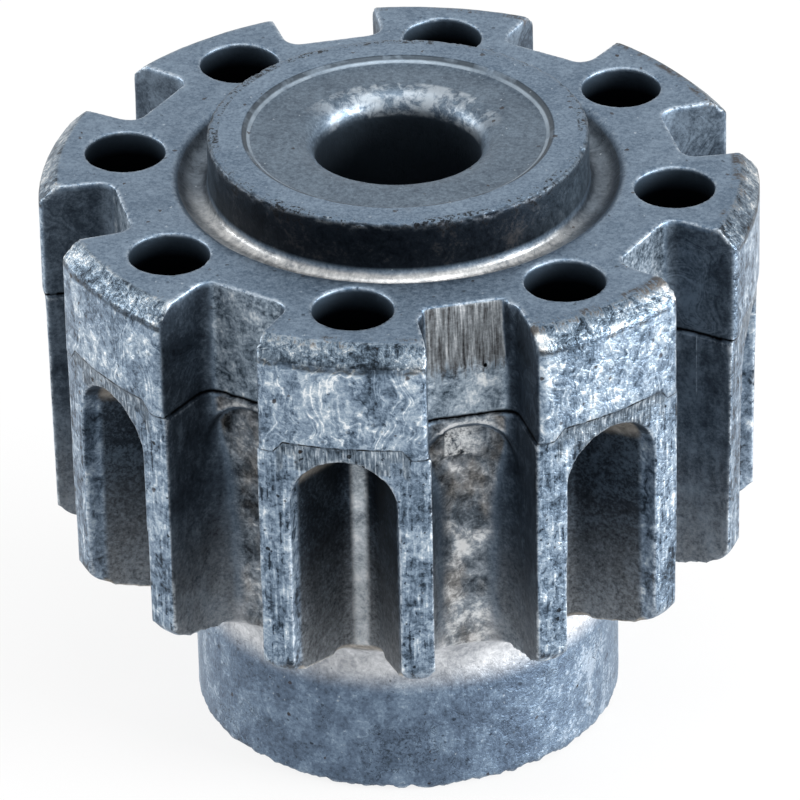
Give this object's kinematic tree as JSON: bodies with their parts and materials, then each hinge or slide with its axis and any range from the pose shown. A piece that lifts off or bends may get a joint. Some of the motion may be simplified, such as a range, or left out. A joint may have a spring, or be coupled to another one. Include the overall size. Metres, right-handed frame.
{
  "type": "impeller hub",
  "caption": "Cast metal impeller hub with hollow teeth round it, a central bore, a raised boss with a groove, and a round blind hole in each tooth.",
  "frame": {"origin": "centre of the hub's flat foot, on the bore axis", "axes": "+Z along the bore from the foot to the boss, -Y through the middle of one tooth"},
  "size_m": [0.0568, 0.0568, 0.0508],
  "materials": {
    "cast_metal": "satin"
  },
  "bodies": {
    "root": {"impeller_hub": "cast_metal"}
  },
  "joints": []
}
